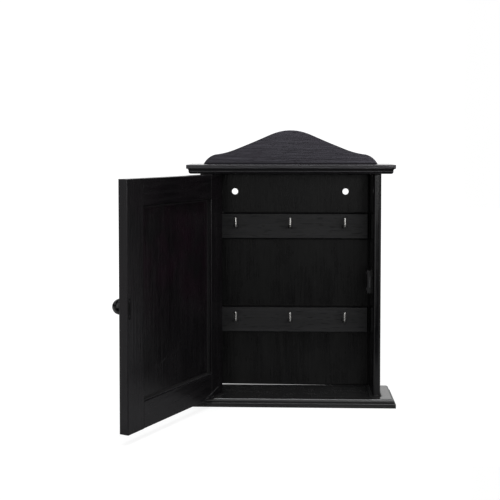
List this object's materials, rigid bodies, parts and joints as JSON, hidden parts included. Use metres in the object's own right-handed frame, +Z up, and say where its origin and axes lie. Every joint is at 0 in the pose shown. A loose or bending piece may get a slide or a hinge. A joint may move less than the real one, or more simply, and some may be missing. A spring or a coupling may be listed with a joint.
{
  "type": "wooden key cabinet",
  "caption": "Small black wooden wall cabinet for keys, with a moulded cornice and plinth, an ogee crest, rows of wire hooks and a framed door on pivot pins.",
  "frame": {"origin": "centre of the plinth's underside", "axes": "+X to the cabinet's right seen from the front, +Y from the front to the wall, +Z up"},
  "size_m": [0.2615, 0.1902, 0.2748],
  "materials": {
    "black_stained_wood": "black stain, satin, fine open grain",
    "black_stained_plywood": "black stain on thin plywood, satin",
    "black_rail_wood": "black stain, satin",
    "black_door_wood": "black stain, satin",
    "black_lacquer": "black gloss lacquer",
    "nickel_wire": "nickel plated wire",
    "steel": "plain bright steel",
    "strike_steel": "black painted steel",
    "black_plastic": "moulded, fine matt",
    "magnet": "dull sintered ferrite",
    "dowel_wood": "plain turned beech"
  },
  "bodies": {
    "cabinet": {"plinth": "black_stained_wood", "cornice": "black_stained_wood", "crest": "black_stained_wood", "left_side": "black_stained_wood", "right_side": "black_stained_wood", "back_panel": "black_stained_plywood", "upper_hook_rail": "black_rail_wood", "lower_hook_rail": "black_rail_wood", "lower_pivot_pin": "steel", "upper_pivot_pin": "steel", "pivot_washer": "steel", "catch_housing": "black_plastic", "catch_magnet": "magnet", "catch_pole_plates": "steel", "catch_screws": "steel", "plinth_screws": "steel", "cornice_nails": "steel", "crest_dowels": "dowel_wood", "back_panel_nails": "steel", "upper_rail_nails": "steel", "lower_rail_nails": "steel", "upper_left_hook": "nickel_wire", "upper_middle_hook": "nickel_wire", "upper_right_hook": "nickel_wire", "lower_left_hook": "nickel_wire", "lower_middle_hook": "nickel_wire", "lower_right_hook": "nickel_wire"},
    "door": {"hinge_stile": "black_door_wood", "free_stile": "black_door_wood", "door_top_rail": "black_door_wood", "door_bottom_rail": "black_door_wood", "door_panel": "black_stained_plywood", "door_knob": "black_lacquer", "strike_plate": "strike_steel", "strike_pins": "steel"}
  },
  "joints": [
    {"name": "door_swing", "type": "hinge", "parent": "cabinet", "child": "door", "pos_m": [-0.0758, -0.0145, 0.0085], "axis": [0, 0, 1], "range_deg": [-4, 116.5]}
  ]
}
